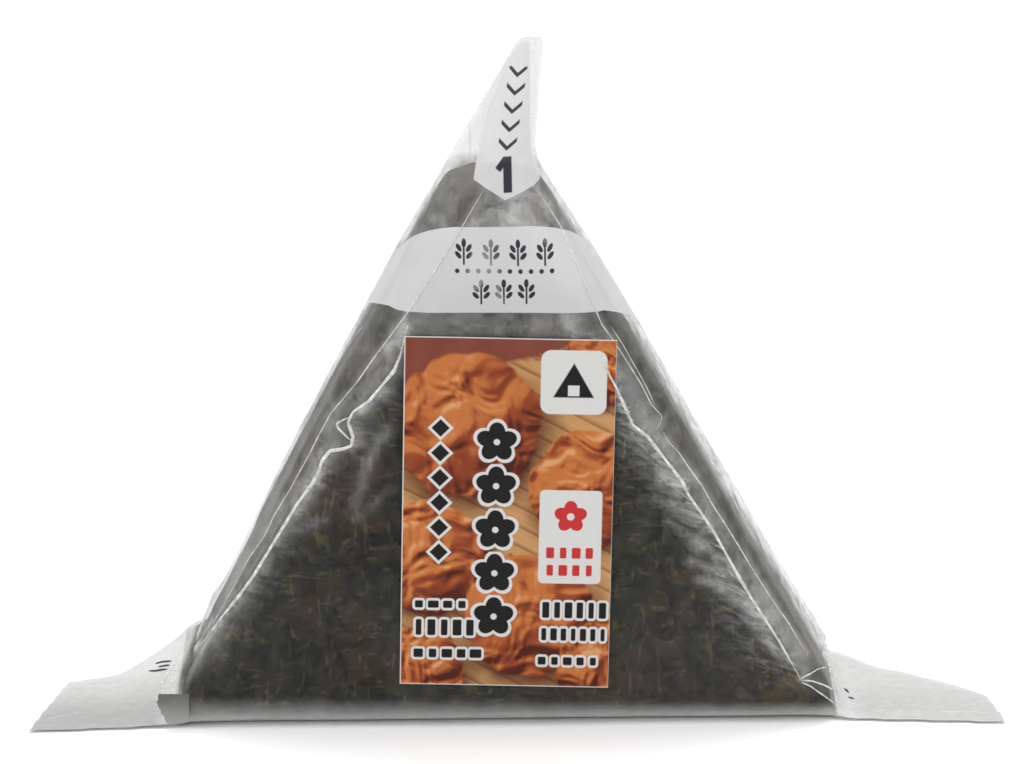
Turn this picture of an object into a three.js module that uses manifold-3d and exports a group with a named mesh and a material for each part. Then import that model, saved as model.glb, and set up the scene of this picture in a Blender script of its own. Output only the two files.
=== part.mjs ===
// A wrapped onigiri: a triangular rice ball in a sheet of nori, sealed in clear film, standing on its base.
// Millimetres, +Z up, front face towards -Y. The origin is in the middle of the flat underside.
// The film gathers into a narrow peak above the rice and lies out on each side of the base as a flat tail.
import * as THREE from "three";
import { mergeVertices } from "three/addons/utils/BufferGeometryUtils.js";
import Module from "manifold-3d";

// Driving dimensions of the wrapped rice ball.
const SHOULDER_HEIGHT = 74; // top of the rice, where the film leaves it
const PEAK_HEIGHT = 90.5; // top of the gathered film, which leans to the right

// The two sides, as x. The slope runs from base to shoulder and bows outwards by swell. The lower corner is cut off
// short of it, and peak is the side of the gathered film at its top.
const LEFT_SIDE = { base: -46.1, corner: -44.2, shoulder: -7.2, swell: 0.9, peak: 2.2 };
const RIGHT_SIDE = { base: 45.5, corner: 44.1, shoulder: 3.9, swell: 0.4, peak: 5.4 };

const HALF_THICKNESS = 15; // front to back
const PEAK_HALF_THICKNESS = 0.9;
const TAPER_START = 60; // above this height the front and back lean together
const TAPER_POWER = 1.25;
const EDGE_RADIUS = 7; // rounding of the front and back edges of the slopes
const FOOT_RADIUS = 2.2; // the same at the table, where the film is pulled out into the tails
const FOOT_HEIGHT = 16; // the rounding grows up to this height
const BASE_RADIUS = 4; // rounding of the edges round the base

// The two film tails. front and back are the y of the tail's front and rear corners at its tip, slant is how far the
// rear corner falls short of the front one, bend says how late the rear edge turns in towards its corner, and rearRise
// is how far that edge is drawn up at the root, inside the slope.
const TAILS = [
  { side: -1, root: 40, tip: 63.9, slant: 3.2, front: -16, back: 7.8, bend: 0.55, rearRise: 7 },
  { side: 1, root: 40, tip: 66.1, slant: 1.6, front: -16.4, back: -5, bend: 1.55, rearRise: 0 },
];
const TAIL_START = 44.4; // the tails are as deep as the body here
const TAIL_HALF_DEPTH = 14.4;
const TAIL_ROOT_HALF_DEPTH = 12.4; // inside the rounding of the body's base
const TAIL_CLEARANCE = 0.2; // the tails lie just off the table, so that the body alone carries the weight
const TAIL_THICKNESS = 1.3;
const TAIL_EDGE_SHARE = 0.75; // thickness along the front and rear edges, as a share of the middle's
const TAIL_ROOT_FADE = 14; // over this distance from the root the rear edge comes down to the table

// The paper label on the front.
const LABEL = { width: 27.7, height: 47.7, thickness: 0.3, corner: 1.2 };
const LABEL_CENTRE = { x: -0.1, z: 29.8 };
const LABEL_TILT = 1.8; // degrees, clockwise as seen from the front
const LABEL_GAP = 0.3;

// Mesh density.
const CORNER_STEPS = 6;
const FACE_STEPS = 10;
const SLOPE_STEPS = 4;
const SECTION_POINTS = 4 * CORNER_STEPS + 2 * FACE_STEPS + 2 * SLOPE_STEPS;
const BASE_ROUND_STEPS = 5;
const BODY_LEVELS = 14;
const PEAK_LEVELS = 12;
const TAIL_LENGTH_STEPS = 18;
const TAIL_DEPTH_STEPS = 10;

const { lerp, clamp, degToRad } = THREE.MathUtils;

const wasm = await Module();
wasm.setup();

// A closed geometry as a solid that can be joined.
function solidOf(geometry) {
  const bare = geometry.clone();
  bare.deleteAttribute("normal");
  bare.deleteAttribute("uv");
  const merged = mergeVertices(bare, 1e-4);
  const mesh = new wasm.Mesh({
    numProp: 3,
    vertProperties: new Float32Array(merged.attributes.position.array),
    triVerts: new Uint32Array(merged.index.array),
  });
  return new wasm.Manifold(mesh);
}

function geometryOf(solid) {
  const mesh = solid.getMesh();
  const geometry = new THREE.BufferGeometry();
  geometry.setAttribute("position", new THREE.BufferAttribute(mesh.vertProperties, 3));
  geometry.setIndex(new THREE.BufferAttribute(mesh.triVerts, 1));
  geometry.computeVertexNormals();
  return geometry;
}

// How far the wall is drawn in at a height inside the rounding round the base.
function baseInset(height) {
  if (height >= BASE_RADIUS) return 0;
  const below = BASE_RADIUS - height;
  return BASE_RADIUS - Math.sqrt(BASE_RADIUS ** 2 - below ** 2);
}

// One side's outline, as x at a height: a slightly bowed slope, then the gathered peak.
function slopeX(height, { base, corner, shoulder, peak, swell }) {
  if (height > SHOULDER_HEIGHT) {
    const up = (height - SHOULDER_HEIGHT) / (PEAK_HEIGHT - SHOULDER_HEIGHT);
    return lerp(shoulder, peak, up);
  }
  const up = height / SHOULDER_HEIGHT;
  const bow = Math.sign(base) * swell * 4 * up * (1 - up);
  const slope = lerp(base, shoulder, up) + bow;
  return Math.sign(base) * Math.min(Math.abs(slope), Math.abs(corner));
}

// The level section of the body at a height: its middle in x, half width, half depth and corner radius.
function sectionAt(height) {
  const inset = baseInset(height);
  const left = slopeX(height, LEFT_SIDE) + inset;
  const right = slopeX(height, RIGHT_SIDE) - inset;
  const taper = clamp((height - TAPER_START) / (PEAK_HEIGHT - TAPER_START), 0, 1) ** TAPER_POWER;
  const halfDepth = lerp(HALF_THICKNESS, PEAK_HALF_THICKNESS, taper) - inset;
  const halfWidth = (right - left) / 2;
  const rounding = lerp(FOOT_RADIUS, EDGE_RADIUS, clamp(height / FOOT_HEIGHT, 0, 1));
  const radius = Math.min(rounding, 0.9 * halfWidth, 0.9 * halfDepth);
  return { middle: (left + right) / 2, halfWidth, halfDepth, radius };
}

// The points of a rounded rectangle about the origin, anticlockwise from the foot of its right side.
function sectionOutline({ halfWidth, halfDepth, radius }) {
  const points = [];
  const corners = [
    [1, 1],
    [-1, 1],
    [-1, -1],
    [1, -1],
  ];
  corners.forEach(([sideX, sideY], turn) => {
    const centre = new THREE.Vector2(sideX * (halfWidth - radius), sideY * (halfDepth - radius));
    for (let k = 0; k <= CORNER_STEPS; k++) {
      const angle = ((turn + k / CORNER_STEPS) * Math.PI) / 2;
      points.push(new THREE.Vector2(Math.cos(angle), Math.sin(angle)).multiplyScalar(radius).add(centre));
    }
    const [nextX, nextY] = corners[(turn + 1) % 4];
    const nextAngle = ((turn + 1) * Math.PI) / 2;
    const end = new THREE.Vector2(Math.cos(nextAngle), Math.sin(nextAngle)).multiplyScalar(radius);
    end.add(new THREE.Vector2(nextX * (halfWidth - radius), nextY * (halfDepth - radius)));
    const start = points[points.length - 1];
    const steps = turn % 2 === 0 ? FACE_STEPS : SLOPE_STEPS;
    for (let k = 1; k < steps; k++) points.push(start.clone().lerp(end, k / steps));
  });
  return points;
}

function bodyHeights() {
  const heights = [];
  for (let k = 0; k < BASE_ROUND_STEPS; k++)
    heights.push(BASE_RADIUS * (1 - Math.cos((k / BASE_ROUND_STEPS) * (Math.PI / 2))));
  for (let k = 0; k < BODY_LEVELS; k++)
    heights.push(lerp(BASE_RADIUS, TAPER_START, k / BODY_LEVELS));
  for (let k = 0; k <= PEAK_LEVELS; k++) heights.push(lerp(TAPER_START, PEAK_HEIGHT, k / PEAK_LEVELS));
  return heights;
}

// The body and its peak: a unit lathe whose rings are then drawn out to the section at each height.
function bodyGeometry() {
  const heights = bodyHeights();
  const profile = [new THREE.Vector2(0, 0)];
  heights.forEach((height) => profile.push(new THREE.Vector2(1, height)));
  profile.push(new THREE.Vector2(0, PEAK_HEIGHT));
  const lathe = new THREE.LatheGeometry(profile, SECTION_POINTS);
  const sections = heights.map((height) => {
    const section = sectionAt(height);
    return { middle: section.middle, outline: sectionOutline(section) };
  });
  const position = lathe.getAttribute("position");
  for (let i = 0; i < position.count; i++) {
    const row = i % profile.length;
    const ring = clamp(row - 1, 0, heights.length - 1);
    const onAxis = row === 0 || row === profile.length - 1;
    const step = Math.floor(i / profile.length) % SECTION_POINTS;
    const { middle, outline } = sections[ring];
    const point = onAxis ? new THREE.Vector2() : outline[step];
    position.setXYZ(i, middle + point.x, point.y, heights[ring]);
  }
  return lathe;
}

// A film tail: a unit box drawn out into a sheet that lies on the table, with its rear edge drawn up to the slope.
function tailGeometry({ side, root, tip, slant, front, back, bend, rearRise }) {
  const box = new THREE.BoxGeometry(1, 1, 1, TAIL_LENGTH_STEPS, TAIL_DEPTH_STEPS, 1);
  const position = box.getAttribute("position");
  for (let i = 0; i < position.count; i++) {
    const along = side * position.getX(i) + 0.5;
    const across = position.getY(i) + 0.5;
    const isTop = position.getZ(i) > 0;
    const end = tip - slant * across;
    const reach = lerp(root, end, along);
    const out = clamp((reach - TAIL_START) / (end - TAIL_START), 0, 1);
    const inside = clamp((TAIL_START - reach) / (TAIL_START - root), 0, 1);
    const frontY = lerp(lerp(-TAIL_HALF_DEPTH, front, out), -TAIL_ROOT_HALF_DEPTH, inside);
    const backY = lerp(lerp(TAIL_HALF_DEPTH, back, out ** bend), TAIL_ROOT_HALF_DEPTH, inside);
    const fade = clamp(1 - (reach - root) / TAIL_ROOT_FADE, 0, 1);
    const crown = Math.sqrt(Math.sin(Math.PI * across));
    const floor = TAIL_CLEARANCE + rearRise * across * fade;
    const top = floor + TAIL_THICKNESS * lerp(TAIL_EDGE_SHARE, 1, crown);
    position.setXYZ(i, side * reach, lerp(frontY, backY, across), isTop ? top : floor);
  }
  return box;
}

function filmPack() {
  const material = new THREE.MeshStandardMaterial({ color: "#45443c", roughness: 0.35, metalness: 0 });
  const solid = TAILS.reduce((joined, tail) => joined.add(solidOf(tailGeometry(tail))), solidOf(bodyGeometry()));
  const mesh = new THREE.Mesh(geometryOf(solid), material);
  mesh.name = "film_pack";
  return mesh;
}

function labelShape() {
  const { width, height, corner } = LABEL;
  const shape = new THREE.Shape();
  const x = width / 2 - corner;
  const y = height / 2 - corner;
  shape.absarc(x, y, corner, 0, Math.PI / 2);
  shape.absarc(-x, y, corner, Math.PI / 2, Math.PI);
  shape.absarc(-x, -y, corner, Math.PI, 1.5 * Math.PI);
  shape.absarc(x, -y, corner, 1.5 * Math.PI, 2 * Math.PI);
  return shape;
}

function label() {
  const material = new THREE.MeshStandardMaterial({ color: "#b0643a", roughness: 0.6, metalness: 0 });
  const geometry = new THREE.ExtrudeGeometry(labelShape(), {
    depth: LABEL.thickness,
    bevelEnabled: false,
    curveSegments: 5,
  });
  const mesh = new THREE.Mesh(geometry, material);
  mesh.name = "label";
  mesh.rotation.set(Math.PI / 2, 0, 0);
  const holder = new THREE.Group();
  holder.rotation.y = degToRad(LABEL_TILT);
  holder.position.set(LABEL_CENTRE.x, -HALF_THICKNESS - LABEL_GAP, LABEL_CENTRE.z);
  holder.add(mesh);
  return holder;
}

const onigiri = new THREE.Group();
onigiri.add(filmPack(), label());

export default onigiri;
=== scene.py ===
# %% [markdown]
# # A wrapped onigiri
#
# A rice ball in a sheet of nori, sealed in clear film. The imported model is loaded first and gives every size. The
# nori and the film are then built inside its outline: the dark, uneven ball, a thin film that lies on it and is
# creased where it is pulled round the edges, the print on that film, and the paper label.

# %% Load the frame
import math

import bpy
import numpy as np
from mathutils import Euler, Matrix, Vector, noise
from mathutils.bvhtree import BVHTree


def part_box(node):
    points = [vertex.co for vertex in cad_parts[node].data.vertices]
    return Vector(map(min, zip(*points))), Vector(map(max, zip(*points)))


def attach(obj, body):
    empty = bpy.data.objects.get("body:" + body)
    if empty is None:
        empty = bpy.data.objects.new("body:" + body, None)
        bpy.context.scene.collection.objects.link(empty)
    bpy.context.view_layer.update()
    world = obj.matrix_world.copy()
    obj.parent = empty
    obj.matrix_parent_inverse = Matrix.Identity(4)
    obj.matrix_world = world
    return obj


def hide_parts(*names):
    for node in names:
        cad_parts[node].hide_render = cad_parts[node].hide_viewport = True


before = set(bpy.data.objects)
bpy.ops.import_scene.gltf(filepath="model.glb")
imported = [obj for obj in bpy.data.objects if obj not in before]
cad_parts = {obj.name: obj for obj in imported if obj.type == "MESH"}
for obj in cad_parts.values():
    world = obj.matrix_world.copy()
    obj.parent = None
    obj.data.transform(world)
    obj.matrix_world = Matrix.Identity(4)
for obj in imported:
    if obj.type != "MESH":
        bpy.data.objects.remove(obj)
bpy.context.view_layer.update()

MM = 0.001
scene = bpy.context.scene
film_low, film_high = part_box("film_pack")
label_low, label_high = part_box("label")
print("film pack", [round(v / MM, 1) for v in film_high - film_low], "mm")

# %% [markdown]
# ## Camera
#
# The photograph looks straight at the front from a little above, through a long lens, so the slopes hardly converge.
# It was held a hair askew, because the base runs downhill to the left. A camera is placed by the angles it looks from
# and its distance. Its frame is taken as the photograph's, so a pixel of the photograph becomes a ray, and a crease
# can be put where that ray meets the film.

# %% Camera at the photograph's angle
PHOTO_WIDTH, PHOTO_HEIGHT = 1024, 764
AZIMUTH, ELEVATION = math.radians(0.3), math.radians(15)
ROLL = math.radians(0.7)
DISTANCE = 600 * MM
LENS = 157.3
SENSOR = 36.0
TARGET = Vector((0.65, 0, 43.6)) * MM
FOCAL_PIXELS = LENS / SENSOR * PHOTO_WIDTH

towards_camera = Vector(
    (
        math.sin(AZIMUTH) * math.cos(ELEVATION),
        -math.cos(AZIMUTH) * math.cos(ELEVATION),
        math.sin(ELEVATION),
    )
)
bpy.ops.object.select_all(action="DESELECT")
bpy.ops.object.camera_add(location=TARGET + DISTANCE * towards_camera)
camera = bpy.context.object
camera.name = "camera"
level = Euler((math.pi / 2 - ELEVATION, 0, AZIMUTH)).to_matrix()
camera.rotation_euler = (level @ Matrix.Rotation(-ROLL, 3, "Z")).to_euler()
camera.data.lens = LENS
camera.data.sensor_width = SENSOR
camera.data.clip_start = 0.01
scene.camera = camera
bpy.context.view_layer.update()


def ray_through(px, py):
    """The direction from the camera through a pixel of the photograph."""
    seen = Vector((px - PHOTO_WIDTH / 2, PHOTO_HEIGHT / 2 - py, -FOCAL_PIXELS))
    return (camera.matrix_world.to_quaternion() @ seen).normalized()


def spot(px, py, y):
    """Where the camera's ray through a pixel crosses the upright plane at y, in metres."""
    eye, ray = camera.location, ray_through(px, py)
    return eye + ray * ((y - eye.y) / ray.y)


print("front scale", round(100 / (spot(562, 382, -0.015) - spot(462, 382, -0.015)).length * MM, 2), "px/mm")

# %% [markdown]
# ## Floor and light
#
# The pack stands in a white tent: a pale floor all round, an even glow from everywhere, a large soft lamp overhead
# and one on each side. Clear film shows nothing but what it mirrors, so the lamps decide how its creases look. The
# tall lamps at the sides draw a thin bright line along each fold.

# %% Floor, lamps and sky
FLOOR_RADIUS = 6
SKY_LIGHT = 0.36
LAMPS = {
    "lamp_over": {"at": (0.0, 0.15, 1.3), "size": (1.5, 1.2), "watts": 17.5},
    "lamp_left": {"at": (-0.9, -0.35, 0.55), "size": (0.35, 0.9), "watts": 3},
    "lamp_right": {"at": (0.95, -0.3, 0.5), "size": (0.35, 0.9), "watts": 3},
    "lamp_front": {"at": (0.02, -0.95, 0.6), "size": (0.14, 0.32), "watts": 1.6},
}

bpy.ops.object.select_all(action="DESELECT")
bpy.ops.mesh.primitive_circle_add(vertices=96, radius=FLOOR_RADIUS, fill_type="NGON")
floor = bpy.context.object
floor.name = "floor"
for name, lamp in LAMPS.items():
    bpy.ops.object.light_add(type="AREA", location=lamp["at"])
    light = bpy.context.object
    light.name = name
    light.data.shape = "RECTANGLE"
    light.data.size, light.data.size_y = lamp["size"]
    light.data.energy = lamp["watts"]
    aim = Vector((0, 0, 0.04)) - light.location
    light.rotation_euler = aim.to_track_quat("-Z", "Y").to_euler()
sky = bpy.data.worlds.new("studio_sky")
sky.use_nodes = True
sky.node_tree.nodes["Background"].inputs["Color"].default_value = (1, 1, 1, 1)
sky.node_tree.nodes["Background"].inputs["Strength"].default_value = SKY_LIGHT
scene.world = sky
scene.view_settings.view_transform = "Standard"
print("lamps", list(LAMPS))

# %% [markdown]
# ## Shader arithmetic
#
# A finish is a sum of patterns, and in nodes even a small sum is a long chain. Here a value that runs through the
# nodes is wrapped in a small class, so the usual signs add the Math nodes. `Finish.node` adds any other node.


# %% A value that runs through a material's nodes
class Wire:
    """A node's output. Arithmetic on it adds Math nodes."""

    def __init__(self, finish, socket):
        self.finish, self.socket = finish, socket

    def math(self, operation, *others):
        return self.finish.node("ShaderNodeMath", {"operation": operation}, dict(enumerate((self, *others))))

    def __add__(self, other):
        return self.math("ADD", other)

    def __sub__(self, other):
        return self.math("SUBTRACT", other)

    def __mul__(self, other):
        return self.math("MULTIPLY", other)

    def __truediv__(self, other):
        return self.math("DIVIDE", other)

    def __rsub__(self, other):
        return self.finish.node("ShaderNodeMath", {"operation": "SUBTRACT"}, {0: other, 1: self})

    def __pow__(self, other):
        return self.math("POWER", other)

    __radd__ = __add__
    __rmul__ = __mul__

    def __abs__(self):
        return self.math("ABSOLUTE")

    def either(self, other):
        """The larger of the two. Of two masks it is the one or the other."""
        return self.math("MAXIMUM", other)

    def least(self, other):
        return self.math("MINIMUM", other)


# %% A material and the nodes that make its finish
class Finish:
    """One material. node() adds a node with its settings first, then the values or wires of its sockets."""

    def __init__(self, name):
        self.material = bpy.data.materials.new(name)
        self.material.use_nodes = True
        self.tree = self.material.node_tree
        self.tree.nodes.clear()

    def node(self, kind, settings=None, values=None, output=0):
        made = self.tree.nodes.new(kind)
        for key, value in (settings or {}).items():
            setattr(made, key, value)
        for key, value in (values or {}).items():
            socket = made.inputs[key]
            if isinstance(value, Wire):
                self.tree.links.new(value.socket, socket)
            elif socket.type == "RGBA":
                socket.default_value = (*value, 1)[:4]
            else:
                socket.default_value = value
        return Wire(self, made.outputs[output])

    def place(self):
        """Object coordinates in millimetres."""
        place = self.node("ShaderNodeTexCoord", output=3)
        return self.node("ShaderNodeVectorMath", {"operation": "SCALE"}, {0: place, 3: 1 / MM})

    def split(self, vector):
        made = self.node("ShaderNodeSeparateXYZ", values={0: vector}).socket.node
        return [Wire(self, made.outputs[k]) for k in range(3)]

    def join(self, x, y, z=0.0):
        return self.node("ShaderNodeCombineXYZ", values={0: x, 1: y, 2: z})

    def stretch(self, vector, x, y, z):
        return self.node("ShaderNodeVectorMath", {"operation": "MULTIPLY"}, {0: vector, 1: (x, y, z)})

    def step(self, value, start, end):
        """0 at start and 1 at end, with a smooth way between."""
        settings = {"interpolation_type": "SMOOTHSTEP"}
        return self.node("ShaderNodeMapRange", settings, {0: value, 1: start, 2: end})

    def ramp(self, value, start, end, low, high):
        return self.node("ShaderNodeMapRange", None, {0: value, 1: start, 2: end, 3: low, 4: high})

    def mix(self, share, first, second):
        """Colour first where share is 0, second where it is 1."""
        settings = {"data_type": "RGBA"}
        return self.node("ShaderNodeMix", settings, {0: share, 6: first, 7: second}, output=2)

    def noise(self, place, size, detail=3.0, roughness=0.55, distortion=0.0):
        """Noise whose lumps are about size millimetres across."""
        values = {"Vector": place, "Scale": 1 / size, "Detail": detail}
        values.update({"Roughness": roughness, "Distortion": distortion})
        return self.node("ShaderNodeTexNoise", None, values)

    def attribute(self, name):
        return self.node("ShaderNodeAttribute", {"attribute_name": name}, output=2)

    def bump(self, height, strength, distance):
        values = {"Height": height, "Strength": strength, "Distance": distance * MM}
        return self.node("ShaderNodeBump", None, values)

    def blend(self, share, first, second):
        """Shader first where share is 0, second where it is 1."""
        return self.node("ShaderNodeMixShader", None, {0: share, 1: first, 2: second})

    def principled(self, **values):
        named = {key.replace("_", " "): value for key, value in values.items()}
        return self.node("ShaderNodeBsdfPrincipled", None, named)

    def surface(self, shader):
        out = self.tree.nodes.new("ShaderNodeOutputMaterial")
        self.tree.links.new(shader.socket, out.inputs["Surface"])
        return self.material


# %% The floor's finish
def floor_finish():
    finish = Finish("pale_floor")
    cloud = finish.noise(finish.place(), 180, 2)
    tone = finish.mix(cloud, (0.9, 0.9, 0.9), (0.93, 0.93, 0.93))
    return finish.surface(finish.principled(Base_Color=tone, Roughness=0.85))


floor.data.materials.append(floor_finish())

# %% [markdown]
# ## Working with a mesh by hand
#
# Every piece starts as a primitive and is shaped in edit mode. The operators act on what is selected, so these
# helpers first clear the selection and then pick vertices by their place.


# %% Helpers for edit mode
def pick(piece):
    """Out of edit mode, only this piece is selected, and it is active."""
    if bpy.context.mode != "OBJECT":
        bpy.ops.object.mode_set(mode="OBJECT")
    bpy.ops.object.select_all(action="DESELECT")
    piece.select_set(True)
    bpy.context.view_layer.objects.active = piece


def settle(piece):
    """The piece's place goes into its mesh, and its object sits at the origin."""
    pick(piece)
    bpy.ops.object.transform_apply(location=True, rotation=True, scale=True)


def select_where(piece, test):
    """In edit mode, selects the vertices whose place in millimetres passes the test."""
    pick(piece)
    bpy.ops.object.mode_set(mode="EDIT")
    bpy.ops.mesh.select_mode(type="VERT")
    bpy.ops.mesh.select_all(action="DESELECT")
    bpy.ops.object.mode_set(mode="OBJECT")
    for vertex in piece.data.vertices:
        vertex.select = bool(test(vertex.co / MM))
    bpy.ops.object.mode_set(mode="EDIT")


def select_edges(piece, test):
    """In edit mode, selects the edges whose two ends in millimetres pass the test."""
    pick(piece)
    bpy.ops.object.mode_set(mode="EDIT")
    bpy.ops.mesh.select_mode(type="EDGE")
    bpy.ops.mesh.select_all(action="DESELECT")
    bpy.ops.object.mode_set(mode="OBJECT")
    ends = piece.data.vertices
    for edge in piece.data.edges:
        a, b = (ends[k].co / MM for k in edge.vertices)
        edge.select = bool(test(a, b))
    bpy.ops.object.mode_set(mode="EDIT")


def leave_edit():
    bpy.ops.object.mode_set(mode="OBJECT")


def modify(piece, kind, **settings):
    """Adds a modifier, sets it and applies it."""
    pick(piece)
    modifier = piece.modifiers.new(kind.title(), kind)
    for key, value in settings.items():
        setattr(modifier, key, value)
    bpy.ops.object.modifier_apply(modifier=modifier.name)


def clouds(name, size, depth=2):
    """A cloudy texture for a Displace modifier, with lumps of that size in millimetres."""
    texture = bpy.data.textures.new(name, "CLOUDS")
    texture.noise_scale = size * MM
    texture.noise_depth = depth
    return texture


def corners(piece):
    """All vertices as rows of x, y, z in millimetres."""
    flat = np.empty(len(piece.data.vertices) * 3)
    piece.data.vertices.foreach_get("co", flat)
    return flat.reshape(-1, 3) / MM


def move_corners(piece, rows):
    piece.data.vertices.foreach_set("co", (rows * MM).ravel())
    piece.data.update()


def smooth_step(value, start, end):
    share = np.clip((value - start) / (end - start), 0, 1)
    return share * share * (3 - 2 * share)


def signed_noise(rows, size, seed=0.0):
    """Smooth noise from -1 to 1 at each row of x, y, z in millimetres."""
    offset = Vector((seed, -seed, 2 * seed))
    return np.array([noise.noise(Vector(row) / size + offset) for row in rows])


def soften(piece, weights, rounds):
    """Smooths the piece as far as each vertex's weight says."""
    group = piece.vertex_groups.new(name="softened")
    for i in np.nonzero(weights > 0)[0]:
        group.add([int(i)], float(weights[i]), "REPLACE")
    modify(piece, "SMOOTH", factor=0.5, iterations=rounds, vertex_group=group.name)
    piece.vertex_groups.clear()


def hand_over(piece, name, node):
    """Names the piece, sets it on the root empty and hides the imported part that it stands for."""
    piece.name = name
    piece.data.name = name
    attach(piece, "root")
    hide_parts(node)
    print(name, len(piece.data.vertices), "vertices")


# %% [markdown]
# ## The nori round the rice
#
# The sheet of nori covers the whole rice ball, so what shows is a dark triangle with soft edges and a slightly
# lumpy face. It could be bevelled from a three-sided cylinder. A cube is handier here, because the ball's top is cut
# off flat and its base is straight: the top face is drawn together and the long edges are bevelled. A voxel remesh
# then gives even faces, on which rice grains press through as low bumps.

# %% The ball's block
NORI_LEFT, NORI_RIGHT = -47.6, 46.8
NORI_BASE = 0.7
NORI_TOP = 72.7
NORI_TOP_LEFT, NORI_TOP_RIGHT = -7.8, 4.4
NORI_DEPTH = 29.4
TAPER_FROM = 60.0
TOP_DEPTH_SHARE = 0.44
FOOT_HEIGHT = 5.0

height = NORI_TOP - NORI_BASE
bpy.ops.object.select_all(action="DESELECT")
bpy.ops.mesh.primitive_cube_add(
    size=MM, location=((NORI_LEFT + NORI_RIGHT) / 2 * MM, 0, (NORI_BASE + height / 2) * MM)
)
nori = bpy.context.object
nori.scale = (NORI_RIGHT - NORI_LEFT, NORI_DEPTH, height)
settle(nori)
select_where(nori, lambda p: p.z > NORI_TOP - 1)
top_share = (NORI_TOP_RIGHT - NORI_TOP_LEFT) / (NORI_RIGHT - NORI_LEFT)
bpy.ops.transform.resize(value=(top_share, 1, 1))
shift = (NORI_TOP_LEFT + NORI_TOP_RIGHT - NORI_LEFT - NORI_RIGHT) / 2
bpy.ops.transform.translate(value=(shift * MM, 0, 0))
bpy.ops.mesh.select_all(action="SELECT")
bpy.ops.mesh.bisect(plane_co=(0, 0, TAPER_FROM * MM), plane_no=(0, 0, 1))
bpy.ops.mesh.select_all(action="SELECT")
bpy.ops.mesh.bisect(plane_co=(0, 0, FOOT_HEIGHT * MM), plane_no=(0, 0, 1))
select_where(nori, lambda p: p.z > NORI_TOP - 1)
bpy.ops.transform.resize(value=(1, TOP_DEPTH_SHARE, 1))
leave_edit()
print("nori block", len(nori.data.vertices), "corners")

# %% Rounded edges
SLOPE_EDGE = 5.8
FOOT_EDGE = 2.6
TOP_EDGE = 3.2
BASE_EDGE = 2.6


def bevel(width, segments):
    bpy.ops.mesh.bevel(
        offset=width * MM, segments=segments, profile=0.5, affect="EDGES", clamp_overlap=True
    )
    leave_edit()


def along_slope(a, b):
    return abs(a.z - b.z) > 3 and min(a.z, b.z) > FOOT_HEIGHT - 0.1


def along_foot(a, b):
    return abs(a.z - b.z) > 3 and max(a.z, b.z) < FOOT_HEIGHT + 0.1


select_edges(nori, along_slope)
bevel(SLOPE_EDGE, 6)
select_edges(nori, along_foot)
bevel(FOOT_EDGE, 4)
select_edges(nori, lambda a, b: a.z > NORI_TOP - 0.1 and b.z > NORI_TOP - 0.1)
bevel(TOP_EDGE, 4)
select_edges(nori, lambda a, b: a.z < NORI_BASE + 0.1 and b.z < NORI_BASE + 0.1)
bevel(BASE_EDGE, 4)

# %% Even faces, and rice pressing through
modify(nori, "REMESH", mode="VOXEL", voxel_size=0.75 * MM)
modify(nori, "SMOOTH", factor=0.5, iterations=3)
modify(nori, "DISPLACE", texture=clouds("rice_lumps", 8), strength=0.8 * MM, mid_level=0.6)
modify(nori, "DISPLACE", texture=clouds("nori_creases", 3, 3), strength=0.4 * MM, mid_level=0.6)
pick(nori)
bpy.ops.object.shade_smooth()

# %% [markdown]
# ## The film
#
# The film closes round the ball, rises to the peak and spreads into a flat tail on each side. A cloth simulation
# could shrink a bag onto the ball, but its folds would fall anywhere. Here they have to lie where the photograph
# shows them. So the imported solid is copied, its faces are made small and even, and the creases are pulled up in it.

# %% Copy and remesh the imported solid
FILM_VOXEL = 0.55 * MM

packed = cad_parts["film_pack"]
film = bpy.data.objects.new("film_wrap", packed.data.copy())
film.matrix_world = packed.matrix_world.copy()
scene.collection.objects.link(film)
settle(film)
film.data.materials.clear()
bpy.ops.object.mode_set(mode="EDIT")
bpy.ops.mesh.select_all(action="SELECT")
bpy.ops.mesh.remove_doubles(threshold=0.01 * MM)
bpy.ops.mesh.normals_make_consistent(inside=False)
leave_edit()
solid_tree = BVHTree.FromObject(film, bpy.context.evaluated_depsgraph_get())
modify(film, "REMESH", mode="VOXEL", voxel_size=FILM_VOXEL)
modify(film, "SMOOTH", factor=0.5, iterations=2)
rows = corners(film)
soften(film, smooth_step(np.abs(rows[:, 0]), 44, 41) * smooth_step(rows[:, 2], 75, 72), 14)
print("film faces", len(film.data.polygons))

# %% [markdown]
# The film is drawn tight, so the nori lies a fraction of a millimetre under it. The ball's block was made a little
# too large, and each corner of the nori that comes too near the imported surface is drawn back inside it. The gap
# changes slowly from place to place, as it does where rice presses against the film. At the lower left the nori
# reaches right into the corner in front, so its rounding is squared there first.

# %% Draw the ball back inside its film
NORI_GAP = 0.5
NORI_GAP_CHANGE = 0.2
NORI_ENDS = -44.7, 43.1
NORI_FRONT = -14.6
TABLE_GAP = 0.5


def draw_back(rows, tree, gaps):
    """Rows that come nearer to a closed surface than their gap are moved to that gap inside it."""
    for i, row in enumerate(rows):
        surface, outwards, _, _ = tree.find_nearest(Vector(row) * MM)
        if (Vector(row) - surface / MM).dot(outwards) > -gaps[i]:
            rows[i] = surface / MM - outwards * gaps[i]
    return rows


rows = corners(nori)
rows[:, 0] = np.clip(rows[:, 0], *NORI_ENDS)
x, y, z = rows.T.copy()
square = smooth_step(-x, 40, 42.5) * smooth_step(-y, 10.5, 13) * smooth_step(z, 14, 9)
rows[:, 0] += (NORI_ENDS[0] - x) * square
rows[:, 1] += (NORI_FRONT - y) * square
gaps = NORI_GAP + NORI_GAP_CHANGE * signed_noise(rows, 5, 8) + TABLE_GAP * smooth_step(z, 6, 2)
move_corners(nori, draw_back(rows, solid_tree, gaps))
hand_over(nori, "nori_rice_ball", "film_pack")

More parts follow.
